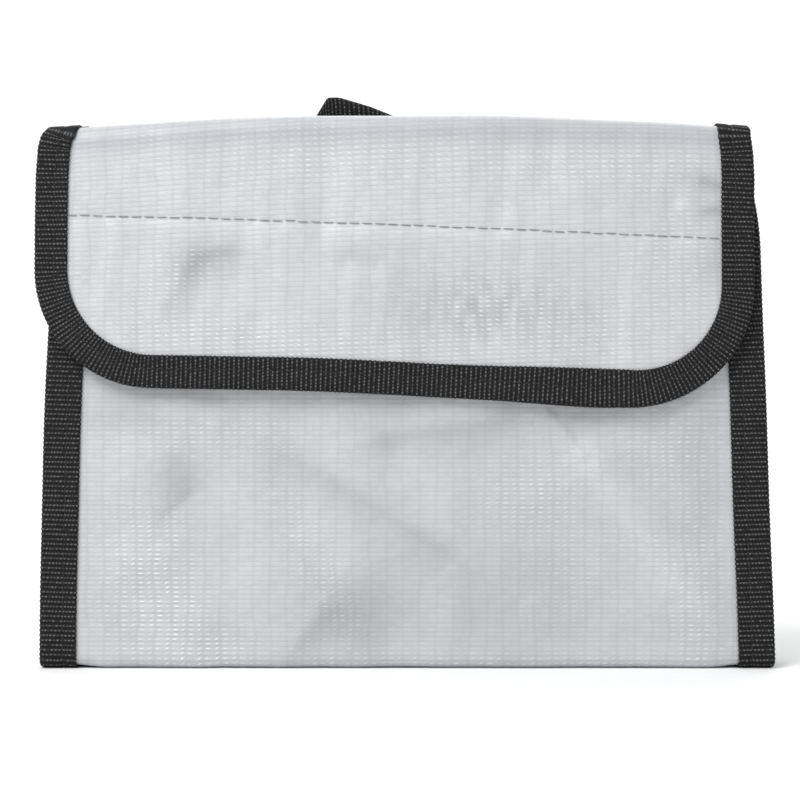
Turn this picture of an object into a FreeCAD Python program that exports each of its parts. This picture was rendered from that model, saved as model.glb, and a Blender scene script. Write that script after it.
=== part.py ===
import FreeCAD, Part
import math
import os

# Lipo safe bag: a flat, upright pouch of silvered glass cloth, bound in black tape.
# Millimetres. +X right, -Y towards the viewer, +Z up, origin under the middle of the base.
# The front and back walls lean towards each other from a base 30 mm deep.

BASE_WIDTH = 240.0
TOP_WIDTH = 230.0
HEIGHT = 178.4
BASE_DEPTH = 30.0
TOP_DEPTH = 14.0
CORNER = 5.0
CLOTH = 1.2
LINING = 0.8
TAPE = 0.9
TAPE_WIDTH = 12.0
MOUTH = 157.0
GAP = 0.4

LINING_INSET = 13.0
GUSSET_DEPTH = 31.0
STRIP_HEIGHT = 45.0
STRIP_LEFT = -88.0
STRIP_RIGHT = 80.0
HOOK_BOTTOM = 101.0
LOOP_BOTTOM = 99.5
STRIP_THICK = 1.0
SEAM_LEVEL = 144.2

FLAP_LEFT = -121.9
FLAP_RIGHT = 113.4
FLAP_BOTTOM_LEFT = 92.7
FLAP_BOTTOM_RIGHT = 84.7
FLAP_RADIUS = 39.0
FLAP_TAPE = 11.0
STACK_GAP = 2.3

WEBBING = 1.5
HANDLE_END = 42.0
HANDLE_END_LENGTH = 22.0
HANDLE_LOW = 140.0
HANDLE_HIGH = 165.0
HANDLE_BOW = 8.0
THREAD = 0.5

LEAN = math.atan((BASE_DEPTH - TOP_DEPTH) / 2.0 / HEIGHT)
STACK = CLOTH + LINING
WALL_LOW = CORNER + 0.6
WALL_TOP = 176.4
LID_UNDER = HEIGHT - CLOTH


def half_width(v):
    """Half the bag's width at height v, tape included."""
    return (BASE_WIDTH - (BASE_WIDTH - TOP_WIDTH) * v / HEIGHT) / 2.0


def slab(points, y0, y1):
    """Flat plate: the outline (x, z) pushed from y0 to y1."""
    corners = [FreeCAD.Vector(x, y0, z) for x, z in points]
    face = Part.Face(Part.makePolygon(corners + corners[:1]))
    return face.extrude(FreeCAD.Vector(0, y1 - y0, 0))


def bar(points, x0, x1):
    """Bar along X: the outline (y, z) pushed from x0 to x1."""
    corners = [FreeCAD.Vector(x0, y, z) for y, z in points]
    face = Part.Face(Part.makePolygon(corners + corners[:1]))
    return face.extrude(FreeCAD.Vector(x1 - x0, 0, 0))


def box(x0, x1, y0, y1, z0, z1):
    return Part.makeBox(x1 - x0, y1 - y0, z1 - z0, FreeCAD.Vector(x0, y0, z0))


def lean_front(shape):
    """Set a part drawn on the plane y = 0 onto the leaning front wall."""
    out = shape.copy()
    out.rotate(FreeCAD.Vector(0, 0, 0), FreeCAD.Vector(1, 0, 0), -math.degrees(LEAN))
    out.translate(FreeCAD.Vector(0, -BASE_DEPTH / 2.0, 0))
    return out


def lean_back(shape):
    """Set a part drawn on the plane y = 0 onto the leaning back wall."""
    out = shape.copy()
    out.rotate(FreeCAD.Vector(0, 0, 0), FreeCAD.Vector(1, 0, 0), math.degrees(LEAN))
    out.translate(FreeCAD.Vector(0, BASE_DEPTH / 2.0, 0))
    return out


def trapezium(inset, v0, v1):
    """Wall outline between two heights, held in from both side edges."""
    low = half_width(v0) - inset
    high = half_width(v1) - inset
    return [(-low, v0), (low, v0), (high, v1), (-high, v1)]


def side_strip(side, inner, outer, v0, v1):
    """Strip along one side edge, between two distances in from that edge."""
    low = half_width(v0)
    high = half_width(v1)
    return [
        (side * (low - inner), v0),
        (side * (low - outer), v0),
        (side * (high - outer), v1),
        (side * (high - inner), v1),
    ]


def side_binding(side, v0, v1, inward):
    """Tape folded over a side edge: both legs and the turn joining them."""
    whole = slab(side_strip(side, TAPE_WIDTH, 0.0, v0, v1), -TAPE * inward, (STACK + TAPE) * inward)
    core = slab(side_strip(side, TAPE_WIDTH + 1.0, TAPE, v0 - 1.0, v1 + 1.0), 0.0, STACK * inward)
    return whole.cut(core)


def channel(outside, thick):
    """Cross-section face of the base: a flat bottom turned up at both edges."""
    half = BASE_DEPTH / 2.0 - outside
    radius = CORNER - outside
    low = outside
    inner = radius - thick
    turn = math.sqrt(0.5)
    flat = half - radius
    middle = low + radius
    points = [
        (-half, middle), (-flat, low), (flat, low), (half, middle),
        (half - thick, middle), (flat, low + thick), (-flat, low + thick), (-half + thick, middle),
    ]
    v = [FreeCAD.Vector(0, y, z) for y, z in points]

    def arc(a, b, centre_y, r, sign):
        mid = FreeCAD.Vector(0, centre_y + sign * r * turn, middle - r * turn)
        return Part.Arc(a, mid, b).toShape()

    edges = [
        arc(v[0], v[1], -flat, radius, -1),
        Part.makeLine(v[1], v[2]),
        arc(v[2], v[3], flat, radius, 1),
        Part.makeLine(v[3], v[4]),
        arc(v[4], v[5], flat, inner, 1),
        Part.makeLine(v[5], v[6]),
        arc(v[6], v[7], -flat, inner, -1),
        Part.makeLine(v[7], v[0]),
    ]
    return Part.Face(Part.Wire(edges))


def channel_bar(outside, thick, x0, x1):
    face = channel(outside, thick)
    face.translate(FreeCAD.Vector(x0, 0, 0))
    return face.extrude(FreeCAD.Vector(x1 - x0, 0, 0))


def back_panel():
    return lean_back(slab(trapezium(TAPE, WALL_LOW, WALL_TOP), 0.0, -CLOTH))


def back_lining():
    """Inner cloth: clear of the gussets below the mouth, full width above it."""
    low = slab(trapezium(LINING_INSET, WALL_LOW, MOUTH + 1.0), -CLOTH, -STACK)
    high = slab(trapezium(TAPE, MOUTH + 1.0, WALL_TOP - 1.0), -CLOTH, -STACK)
    return lean_back(low.fuse(high).removeSplitter())


def front_panel():
    return lean_front(slab(trapezium(TAPE, WALL_LOW, MOUTH), 0.0, CLOTH))


def front_lining():
    return lean_front(slab(trapezium(LINING_INSET, WALL_LOW, MOUTH), CLOTH, STACK))


def front_binding(side):
    return lean_front(side_binding(side, WALL_LOW, MOUTH + TAPE, 1.0))


def back_binding(side):
    return lean_back(side_binding(side, WALL_LOW, WALL_TOP - 0.4, -1.0))


def mouth_binding():
    """Tape folded over the free top edge of the front wall, its inner leg held in from the gussets."""
    edge = TAPE_WIDTH + GAP
    outer = slab(trapezium(edge, MOUTH - 11.0, MOUTH + TAPE), -TAPE, 0.0)
    turn = slab(trapezium(edge, MOUTH, MOUTH + TAPE), 0.0, STACK)
    inner = slab(trapezium(edge + 9.0, MOUTH - 11.0, MOUTH + TAPE), STACK, STACK + TAPE)
    return lean_front(outer.fuse([turn, inner]).removeSplitter())


def base_panel():
    end = BASE_WIDTH / 2.0 - TAPE
    return channel_bar(TAPE, CLOTH, -end, end)


def base_lining():
    end = BASE_WIDTH / 2.0 - TAPE_WIDTH - GAP
    return channel_bar(TAPE + CLOTH, LINING, -end, end)


def base_binding(side):
    """Tape round the turned-up end of the base; its underside is what the bag stands on."""
    inner = BASE_WIDTH / 2.0 - TAPE_WIDTH
    outer = BASE_WIDTH / 2.0
    under = channel_bar(0.0, TAPE, inner, outer)
    edge = channel_bar(TAPE, CLOTH, outer - TAPE, outer)
    over = channel_bar(TAPE + CLOTH, TAPE, inner, outer)
    strip = under.fuse([edge, over]).removeSplitter()
    if side < 0:
        strip = strip.mirror(FreeCAD.Vector(0, 0, 0), FreeCAD.Vector(1, 0, 0))
    return strip


def gusset_section(z, fold):
    """Cross-section of the folded side cloth at one height, as a closed row of corners.

    Each leaf is gripped inside the side tape, steps in past the lining and runs to the fold.
    """
    skin = BASE_DEPTH / 2.0 - z * math.tan(LEAN)
    inner_y = skin - CLOTH / math.cos(LEAN) - 0.02
    leaf_y = skin - STACK / math.cos(LEAN) - 0.05
    edge = half_width(z) - TAPE - 0.05
    seam = half_width(z) - TAPE_WIDTH - 0.05
    thick = LINING - 0.1
    step = seam - thick
    run = fold - thick
    leaf = math.hypot(run, leaf_y)
    shift = thick * leaf / run
    tip_x = step - run + thick * leaf / leaf_y
    bend_y = leaf_y + leaf_y / run * thick - shift
    row = [
        (edge, inner_y), (step, inner_y), (step, leaf_y), (step - run, 0.0), (step, -leaf_y),
        (step, -inner_y), (edge, -inner_y), (edge, thick - inner_y), (seam, thick - inner_y),
        (seam, -bend_y), (tip_x, 0.0), (seam, bend_y), (seam, inner_y - thick), (edge, inner_y - thick),
    ]
    return Part.makePolygon([FreeCAD.Vector(x, y, z) for x, y in row + row[:1]])


def gusset(side):
    """Side wall: one piece folded inwards, its fold growing from the base to the mouth."""
    low = gusset_section(WALL_LOW + 1.0, 4.0)
    high = gusset_section(MOUTH - 0.5, GUSSET_DEPTH)
    fold = Part.makeLoft([low, high], True, True)
    if side < 0:
        fold = fold.mirror(FreeCAD.Vector(0, 0, 0), FreeCAD.Vector(1, 0, 0))
    return fold


def lid_ends():
    """Back and front ends (y) of the lid strip."""
    back = BASE_DEPTH / 2.0 - HEIGHT * math.tan(LEAN)
    front = -back - STACK_GAP / math.cos(LEAN) + GAP
    return front, back


def lid_panel():
    front, back = lid_ends()
    side = half_width(HEIGHT) - TAPE
    return box(-side, side, front, back, LID_UNDER, HEIGHT)


def lid_lining():
    front, back = lid_ends()
    side = half_width(HEIGHT) - TAPE_WIDTH - GAP
    return box(-side, side, front + 1.5, back - 2.5, LID_UNDER - LINING, LID_UNDER)


def lid_binding(side):
    """Tape folded over one end of the lid strip."""
    front, back = lid_ends()
    outer = half_width(HEIGHT)
    inner = outer - TAPE_WIDTH
    whole = box(inner, outer, front + 1.2, back - 1.2, LID_UNDER - TAPE, HEIGHT + TAPE)
    core = box(inner - 1.0, outer - TAPE, front, back, LID_UNDER, HEIGHT)
    strip = whole.cut(core)
    if side < 0:
        strip = strip.mirror(FreeCAD.Vector(0, 0, 0), FreeCAD.Vector(1, 0, 0))
    return strip


def flap_outline(inset):
    """Flap outline held in by inset: straight sides, sloping hem, two round corners."""
    left = FLAP_LEFT + inset
    right = FLAP_RIGHT - inset
    radius = FLAP_RADIUS - inset
    slope = math.atan((FLAP_BOTTOM_LEFT - FLAP_BOTTOM_RIGHT) / (FLAP_RIGHT - FLAP_LEFT))
    drop = math.tan(slope)
    rise = inset / math.cos(slope)

    def hem(x):
        return FLAP_BOTTOM_LEFT - (x - FLAP_LEFT) * drop + rise

    def centre(x):
        return FreeCAD.Vector(x, 0, hem(x) + radius / math.cos(slope))

    def rim(c, degrees):
        a = math.radians(degrees) - slope
        return FreeCAD.Vector(c.x + radius * math.cos(a), 0, c.z + radius * math.sin(a))

    lc = centre(left + radius)
    rc = centre(right - radius)
    top = WALL_TOP + 0.4
    left_end = FreeCAD.Vector(left, 0, lc.z)
    right_end = FreeCAD.Vector(right, 0, rc.z)
    corner_left = FreeCAD.Vector(max(left, -117.0 + inset * 0.8), 0, top)
    shoulder = FreeCAD.Vector(left, 0, 168.0)
    corner_right = FreeCAD.Vector(right, 0, top)
    points = [corner_left, shoulder, left_end]
    edges = [Part.makeLine(points[0], points[1]), Part.makeLine(points[1], points[2])]
    edges.append(Part.Arc(left_end, rim(lc, 225.0), rim(lc, 270.0)).toShape())
    edges.append(Part.makeLine(rim(lc, 270.0), rim(rc, 270.0)))
    edges.append(Part.Arc(rim(rc, 270.0), rim(rc, 315.0), right_end).toShape())
    edges.append(Part.makeLine(right_end, corner_right))
    edges.append(Part.makeLine(corner_right, corner_left))
    return Part.Wire(edges)


def flap_slab(inset, y0, y1):
    face = Part.Face(flap_outline(inset))
    face.translate(FreeCAD.Vector(0, y0, 0))
    return face.extrude(FreeCAD.Vector(0, y1 - y0, 0))


def flap_layer(inset, out0, out1):
    """Flat layer of the flap between two distances out from the front wall."""
    return flap_slab(inset, -out0, -out1)


def flap_panel():
    return lean_front(flap_layer(TAPE, STACK_GAP + LINING, STACK_GAP + STACK))


def flap_lining():
    return lean_front(flap_layer(FLAP_TAPE + GAP, STACK_GAP, STACK_GAP + LINING))


def flap_binding():
    """Tape folded round both sides and the hem of the flap, open at the top fold."""
    low = STACK_GAP - TAPE
    high = STACK_GAP + STACK + TAPE
    ring = flap_layer(0.0, low, high)
    ring = ring.cut(flap_layer(FLAP_TAPE, low - 1.0, high + 1.0))
    ring = ring.cut(flap_layer(TAPE, STACK_GAP, STACK_GAP + STACK))
    ring = ring.cut(box(-200.0, 200.0, -20.0, 20.0, 174.5, 220.0))
    ring = ring.cut(box(FLAP_LEFT + FLAP_TAPE, FLAP_RIGHT - FLAP_TAPE, -20.0, 20.0, 140.0, 220.0))
    return lean_front(ring)


def hem_slope():
    return (FLAP_BOTTOM_LEFT - FLAP_BOTTOM_RIGHT) / (FLAP_RIGHT - FLAP_LEFT)


def hook_strip():
    """Hook band inside the flap, parallel to its sloping hem."""
    middle = (FLAP_LEFT + FLAP_RIGHT) / 2.0
    left = HOOK_BOTTOM - (STRIP_LEFT - middle) * hem_slope()
    right = HOOK_BOTTOM - (STRIP_RIGHT - middle) * hem_slope()
    points = [
        (STRIP_LEFT, left), (STRIP_RIGHT, right),
        (STRIP_RIGHT, right + STRIP_HEIGHT), (STRIP_LEFT, left + STRIP_HEIGHT),
    ]
    return lean_front(slab(points, -STACK_GAP, -STACK_GAP + STRIP_THICK))


def loop_strip():
    """Loop band on the front wall, level, under the hook band."""
    low = LOOP_BOTTOM
    high = LOOP_BOTTOM + STRIP_HEIGHT
    points = [(STRIP_LEFT, low), (STRIP_RIGHT, low), (STRIP_RIGHT, high), (STRIP_LEFT, high)]
    return lean_front(slab(points, 0.0, -STRIP_THICK))


def seam_thread():
    """Lockstitch across the flap that holds the upper edge of the hook strip."""
    middle = (FLAP_LEFT + FLAP_RIGHT) / 2.0
    x0 = FLAP_LEFT + FLAP_TAPE + 0.6
    x1 = FLAP_RIGHT - FLAP_TAPE - 0.6
    z0 = SEAM_LEVEL - (x0 - middle) * hem_slope()
    z1 = SEAM_LEVEL - (x1 - middle) * hem_slope()
    out = STACK_GAP + STACK
    start = FreeCAD.Vector(x0, -out, z0)
    way = FreeCAD.Vector(x1 - x0, 0, z1 - z0)
    thread = Part.makeCylinder(THREAD / 2.0, way.Length, start, way)
    half = thread.cut(box(-200.0, 200.0, -out, 0.0, 0.0, 300.0))
    return lean_front(half)


def handle_end(side):
    """Sewn-down end of the webbing handle, flat on the back wall."""
    inner = side * HANDLE_END
    outer = side * (HANDLE_END + HANDLE_END_LENGTH)
    points = [(inner, HANDLE_LOW), (outer, HANDLE_LOW), (outer, HANDLE_HIGH), (inner, HANDLE_HIGH)]
    return lean_back(slab(points, 0.0, WEBBING))


def handle_stitch(side):
    """Square of stitching with a cross in it, on top of a handle end."""
    margin = 3.0
    x0 = HANDLE_END + margin
    x1 = HANDLE_END + HANDLE_END_LENGTH - margin
    z0 = HANDLE_LOW + margin
    z1 = HANDLE_HIGH - margin
    half = THREAD
    square = slab([(x0, z0), (x1, z0), (x1, z1), (x0, z1)], WEBBING, WEBBING + THREAD)
    inside = slab(
        [(x0 + half, z0 + half), (x1 - half, z0 + half), (x1 - half, z1 - half), (x0 + half, z1 - half)],
        WEBBING - 1.0,
        WEBBING + 1.0,
    )
    shape = square.cut(inside)
    for a, b in (((x0, z0), (x1, z1)), ((x0, z1), (x1, z0))):
        dx = b[0] - a[0]
        dz = b[1] - a[1]
        size = math.hypot(dx, dz)
        px = -dz / size * half / 2.0
        pz = dx / size * half / 2.0
        bar_points = [
            (a[0] - px, a[1] - pz), (b[0] - px, b[1] - pz), (b[0] + px, b[1] + pz), (a[0] + px, a[1] + pz),
        ]
        stroke = slab(bar_points, WEBBING, WEBBING + THREAD)
        bounds = slab([(x0, z0), (x1, z0), (x1, z1), (x0, z1)], WEBBING, WEBBING + THREAD)
        shape = shape.fuse(stroke.common(bounds))
    shape = shape.removeSplitter()
    if side < 0:
        shape = shape.mirror(FreeCAD.Vector(0, 0, 0), FreeCAD.Vector(1, 0, 0))
    return lean_back(shape)


def handle_strap():
    """Free loop of the handle: bowed off the back wall and buckled up left of centre."""
    end = HANDLE_END - GAP
    radius = (end * end + HANDLE_BOW * HANDLE_BOW) / (2.0 * HANDLE_BOW)
    centre = FreeCAD.Vector(0, GAP + HANDLE_BOW - radius, 0)
    low = HANDLE_LOW - 10.0
    ring = Part.makeCylinder(radius + WEBBING, 80.0, centre + FreeCAD.Vector(0, 0, low))
    ring = ring.cut(Part.makeCylinder(radius, 80.0, centre + FreeCAD.Vector(0, 0, low)))
    crest = [
        (-end, HANDLE_LOW), (-24.5, 163.0), (end, HANDLE_LOW),
        (end, HANDLE_HIGH), (-18.5, 189.4), (-26.4, 189.9), (-end, HANDLE_HIGH),
    ]
    strap = ring.common(slab(crest, 0.0, 40.0))
    return lean_back(strap)


SIDES = (("left", -1.0), ("right", 1.0))

parts = {
    "back_panel": back_panel(),
    "back_lining": back_lining(),
    "base_panel": base_panel(),
    "base_lining": base_lining(),
    "front_panel": front_panel(),
    "front_lining": front_lining(),
    "mouth_binding": mouth_binding(),
    "loop_strip": loop_strip(),
    "lid_panel": lid_panel(),
    "lid_lining": lid_lining(),
    "flap_panel": flap_panel(),
    "flap_lining": flap_lining(),
    "flap_binding": flap_binding(),
    "hook_strip": hook_strip(),
    "flap_seam_thread": seam_thread(),
    "handle_strap": handle_strap(),
}
for name, side in SIDES:
    parts["back_binding_" + name] = back_binding(side)
    parts["front_binding_" + name] = front_binding(side)
    parts["base_binding_" + name] = base_binding(side)
    parts["gusset_" + name] = gusset(side)
    parts["lid_binding_" + name] = lid_binding(side)
    parts["handle_end_" + name] = handle_end(side)
    parts["handle_stitch_" + name] = handle_stitch(side)

os.makedirs("parts", exist_ok=True)
for name, shape in parts.items():
    solid = shape.Solids[0]
    solid.exportStep("parts/" + name + ".step")
    b = solid.BoundBox
    print(
        name, len(shape.Solids), solid.isValid(), round(solid.Volume, 1),
        "x", round(b.XMin, 2), round(b.XMax, 2),
        "y", round(b.YMin, 2), round(b.YMax, 2),
        "z", round(b.ZMin, 2), round(b.ZMax, 2),
    )
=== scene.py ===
import math

import bmesh
import bpy
import numpy as np
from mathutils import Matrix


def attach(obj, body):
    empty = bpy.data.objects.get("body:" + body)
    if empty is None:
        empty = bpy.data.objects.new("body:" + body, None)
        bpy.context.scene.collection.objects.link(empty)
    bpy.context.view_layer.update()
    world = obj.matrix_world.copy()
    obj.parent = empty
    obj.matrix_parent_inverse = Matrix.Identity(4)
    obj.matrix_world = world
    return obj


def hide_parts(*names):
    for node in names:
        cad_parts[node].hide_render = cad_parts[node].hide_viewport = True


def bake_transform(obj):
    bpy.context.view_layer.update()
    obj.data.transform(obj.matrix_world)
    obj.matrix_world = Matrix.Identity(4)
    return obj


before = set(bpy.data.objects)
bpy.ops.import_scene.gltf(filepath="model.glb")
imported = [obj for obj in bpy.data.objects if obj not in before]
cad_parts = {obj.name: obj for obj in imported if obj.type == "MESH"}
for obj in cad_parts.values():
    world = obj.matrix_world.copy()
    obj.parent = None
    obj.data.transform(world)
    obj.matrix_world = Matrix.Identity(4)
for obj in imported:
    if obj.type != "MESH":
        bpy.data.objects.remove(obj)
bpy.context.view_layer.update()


# ---------------------------------------------------------------- front wall and base
# One length of silvered glass cloth makes the wall the flap closes on and turns under the bag
# as its base. It is woven glass yarn with a laminated film, so it creases and never drapes.
# Sizes are in mm. q is the length along a cloth from the middle of the base, so that a wall's
# height z is close to q - FOOT_Q.
BODY_HEIGHT = 178.4
LEAN = math.atan(8.0 / BODY_HEIGHT)
HALF_BASE, TAPER = 120.0, 5.0
FOOT_Y, BASE_Z, FOOT_Q = 15.0, 0.95, 10.0
MOUTH_Z = 157.0
CLOTH_INSET = 1.2
CLOTH_THICKNESS = 0.5


def ramp(x):
    """x held between 0 and 1."""
    return np.clip(x, 0.0, 1.0)


def unit(v):
    """Vectors along the last axis, made 1 long."""
    return v / (np.linalg.norm(v, axis=-1, keepdims=True) + 1e-12)


def half_width(z):
    """Half the bag's width at height z, in mm, tape included: 120 at the base, 115 at the fold."""
    return HALF_BASE - TAPER * ramp(z / BODY_HEIGHT)


def lengths(line):
    """Distance along a row of 2-D points at each of them."""
    return np.concatenate([[0.0], np.cumsum(np.hypot(*np.diff(line, axis=0).T))])


def profile(corners):
    """Cross-section (y, z) in mm as a dense row of points with its length and left-hand normals.

    corners is a row of (y, z, radius); each inner corner is rounded by a quadratic curve that
    leaves and meets the straight stretches radius mm from the corner.
    """
    rows = [np.array(corners[0][:2])]
    for before, here, after in zip(corners, corners[1:], corners[2:]):
        p = np.array(here[:2])
        a = p + unit(np.array(before[:2]) - p) * here[2]
        b = p + unit(np.array(after[:2]) - p) * here[2]
        t = np.linspace(0.0, 1.0, 15)[:, None]
        rows.extend((1 - t) ** 2 * a + 2 * t * (1 - t) * (0.86 * p + 0.07 * (a + b)) + t * t * b)
    rows.append(np.array(corners[-1][:2]))
    line = np.array(rows)
    way = unit(np.gradient(line, axis=0))
    return lengths(line), line, np.stack([way[:, 1], -way[:, 0]], axis=1)


def on_profile(shape, q, h, outward):
    """(y, z) at q mm along a profile and h mm out from it."""
    length, line, normal = shape
    y = np.interp(q, length, line[:, 0]) + outward * h * np.interp(q, length, normal[:, 0])
    z = np.interp(q, length, line[:, 1]) + outward * h * np.interp(q, length, normal[:, 1])
    return y, z


def waves(u, v, seed, size, count=14):
    """Smooth random relief of about -1 to 1: the sum of count sine waves near size mm long."""
    rng = np.random.default_rng(seed)
    out = np.zeros(np.broadcast(u, v).shape)
    for heading, stretch, phase in rng.uniform((0.0, 0.7, 0.0), (np.pi, 1.6, 2 * np.pi), (count, 3)):
        k = 2 * np.pi / (size * stretch)
        out += np.sin(k * (u * np.cos(heading) + v * np.sin(heading)) + phase)
    return out * math.sqrt(2.0 / count) / 1.6


def patch(u, v, cu, cv, su, sv):
    """1 at (cu, cv), falling to 0 over about su and sv mm."""
    return np.exp(-((u - cu) / su) ** 2 - ((v - cv) / sv) ** 2)


def ridge(u, v, start, end, left, right, blunt=1.4):
    """Fold along a line: 1 on it, falling away over left and right mm either side and at its ends.

    With d the distance to the segment, height is exp(-(sqrt(d^2 + blunt^2) - blunt) / width).
    """
    du, dv = end[0] - start[0], end[1] - start[1]
    along = np.clip(((u - start[0]) * du + (v - start[1]) * dv) / (du * du + dv * dv), 0.0, 1.0)
    off_u, off_v = u - start[0] - along * du, v - start[1] - along * dv
    width = np.where(du * off_v - dv * off_u > 0.0, left, right)
    return np.exp(-(np.sqrt(off_u ** 2 + off_v ** 2 + blunt ** 2) - blunt) / width)


def swells(u, v, rows):
    """Sum of patches, from rows of (amount, cu, cv, su, sv)."""
    return sum(amount * patch(u, v, *where) for amount, *where in rows)


def creases(u, v, rows):
    """Sum of ridges, from rows of (amount, start, end, left, right) and blunt if it isn't 1.4."""
    return sum(amount * ridge(u, v, *where) for amount, *where in rows)


def make(name, points, faces, uv):
    """Mesh object from points in mm, quads or longer faces and one uv (mm) per point, faces outward."""
    mesh = bpy.data.meshes.new(name)
    points = np.asarray(points).reshape(-1, 3) * 0.001
    mesh.from_pydata(points.tolist(), [], [list(map(int, f)) for f in faces])
    form = bmesh.new()
    form.from_mesh(mesh)
    bmesh.ops.recalc_face_normals(form, faces=form.faces)
    form.to_mesh(mesh)
    form.free()
    layer = mesh.uv_layers.new(name="weave")
    loops = np.empty(len(mesh.loops), dtype=np.int32)
    mesh.loops.foreach_get("vertex_index", loops)
    layer.data.foreach_set("uv", np.asarray(uv, dtype=np.float32).reshape(-1, 2)[loops].ravel())
    mesh.polygons.foreach_set("use_smooth", np.full(len(mesh.polygons), True))
    mesh.update()
    thing = bpy.data.objects.new(name, mesh)
    bpy.context.scene.collection.objects.link(thing)
    return thing


def cells(rows, columns, start=0, wrap=False, flip=False):
    """Quads of a grid of points laid out row by row; wrap joins the last column to the first."""
    i = np.arange(rows - 1)[:, None]
    j = np.arange(columns if wrap else columns - 1)[None, :]
    k = (j + 1) % columns
    here, below = i * columns, (i + 1) * columns
    quad = np.stack([here + j, here + k, below + k, below + j], axis=-1).reshape(-1, 4) + start
    return quad[:, ::-1] if flip else quad


def shell(name, skin, uv, thickness, flip):
    """Closed sheet: a grid of skin points, the same grid thickness mm behind it, and a rim.

    The back is skin - thickness * n, or skin + thickness * n where flip is set; n is the grid's
    normal, d/drow x d/dcolumn.
    """
    rows, columns = skin.shape[:2]
    normal = unit(np.cross(np.gradient(skin, axis=0), np.gradient(skin, axis=1)))
    back = skin + normal * (thickness if flip else -thickness)
    n = rows * columns
    ring = np.concatenate([
        np.arange(columns),
        np.arange(1, rows) * columns + columns - 1,
        (rows - 1) * columns + np.arange(columns - 2, -1, -1),
        np.arange(rows - 2, 0, -1) * columns,
    ])
    after = np.roll(ring, -1)
    rim = np.stack([after, ring, ring + n, after + n], axis=1)
    faces = np.concatenate([cells(rows, columns), cells(rows, columns, n, flip=True), rim])
    if not flip:
        faces = faces[:, ::-1]
    return make(name, np.concatenate([skin, back]), faces, np.concatenate([uv, uv]))


def wall_y(z):
    """Distance from the middle plane to a wall's outer cloth at height z."""
    return FOOT_Y - z * math.tan(LEAN)


FRONT_TOP = MOUTH_Z + 6.0
FRONT = profile([(0.0, BASE_Z, 0.0), (-FOOT_Y, BASE_Z, 3.2), (-wall_y(FRONT_TOP), FRONT_TOP, 0.0)])
FRONT_MOUTH = float(np.interp(MOUTH_Z, FRONT[1][:, 1], FRONT[0]))


def front_half(z):
    """Half the front wall's width: the side seams draw in by 2.4 mm over the last 22 mm."""
    return half_width(z) - 2.4 * ramp((z - 136.0) / 22.0) ** 2


def base_sag(x, q):
    """The base hangs 0.8 mm lower between the side tapes, where nothing stiffens it."""
    return 0.8 * ramp((107.0 - np.abs(x)) / 8.0) * ramp((21.0 - q) / 8.0)


def front_relief(x, q):
    """How far the front cloth stands out of flat, in mm: broad folds up and down and small creases."""
    z = q - FOOT_Q
    free = ramp(z / 12.0) * ramp((112.0 - np.abs(x)) / 14.0)
    broad = 0.42 * waves(x, 0.30 * z, 3, 30.0) + 0.16 * waves(x, 0.45 * z, 4, 13.0)
    fine = 0.07 * waves(x, z, 5, 7.0)
    folds = creases(x, z, (
        (2.6, (62.0, 68.0), (101.0, 19.0), 8.0, 15.0), (-1.8, (-40.0, 73.0), (12.0, 38.0), 9.0, 6.0),
        (-0.8, (-79.0, 53.0), (-70.0, 61.0), 4.0, 5.0), (0.9, (-86.0, 22.0), (-67.0, 4.0), 4.0, 5.0),
        (1.0, (-42.0, 2.0), (-30.0, 22.0), 4.0, 9.0),
    ))
    folds += swells(x, z, (
        (1.5, -16, 40, 20, 14), (1.0, 14, 90, 26, 9), (1.2, -74, 80, 14, 12), (0.9, -84, 36, 10, 6),
        (1.3, 88, 88, 14, 14), (0.8, 34, 14, 22, 12), (-0.7, 92, 12, 12, 9),
    ))
    return free * (broad + fine + folds) + base_sag(x, q)


def front_place(x, q, h):
    """Point of the front cloth: x across, q mm along it from the middle of the base, h out of it.

    The left side seam bows outwards by up to 1.3 mm between base and mouth.
    """
    y, z = on_profile(FRONT, q, h + front_relief(x, q), -1.0)
    bow = 1.3 * ramp((-x - 60.0) / 50.0) * np.sin(np.pi * ramp(z / MOUTH_Z))
    return x - bow, y, z


q, t = np.meshgrid(np.linspace(0.0, FRONT_MOUTH, 150), np.linspace(-1.0, 1.0, 210), indexing="ij")
across = t * (front_half(q - FOOT_Q) - CLOTH_INSET)
skin = np.stack(front_place(across, q, 0.0), axis=-1)
front_cloth = shell("front_cloth", skin, np.stack([across, q], axis=-1), CLOTH_THICKNESS, flip=True)


def socket(tree, value, target):
    """Join a socket, or set a plain value, on an input."""
    if isinstance(value, bpy.types.NodeSocket):
        tree.links.new(value, target)
    else:
        target.default_value = value


def calc(tree, operation, a, b=0.0, c=0.0, clamp=False):
    """Math node; returns its result."""
    node = tree.nodes.new("ShaderNodeMath")
    node.operation = operation
    node.use_clamp = clamp
    for value, target in zip((a, b, c), node.inputs):
        socket(tree, value, target)
    return node.outputs[0]


def times(tree, a, b):
    """a * b."""
    return calc(tree, "MULTIPLY", a, b)


def plus(tree, a, b):
    """a + b."""
    return calc(tree, "ADD", a, b)


def power(tree, a, b):
    """a to the power b."""
    return calc(tree, "POWER", a, b)


def line_of(tree, a, slope, start):
    """slope * a + start, held between 0 and 1."""
    return calc(tree, "MULTIPLY_ADD", a, slope, start, clamp=True)


def hump(tree, a):
    """sin(pi * the fraction of a): 0 at whole numbers, 1 half way between them."""
    return calc(tree, "SINE", times(tree, calc(tree, "FRACT", a), math.pi))


def blend_colour(tree, factor, a, b):
    """Mix of two colours."""
    node = tree.nodes.new("ShaderNodeMix")
    node.data_type = "RGBA"
    socket(tree, factor, node.inputs["Factor"])
    socket(tree, a, node.inputs[6])
    socket(tree, b, node.inputs[7])
    return node.outputs[2]


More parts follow.
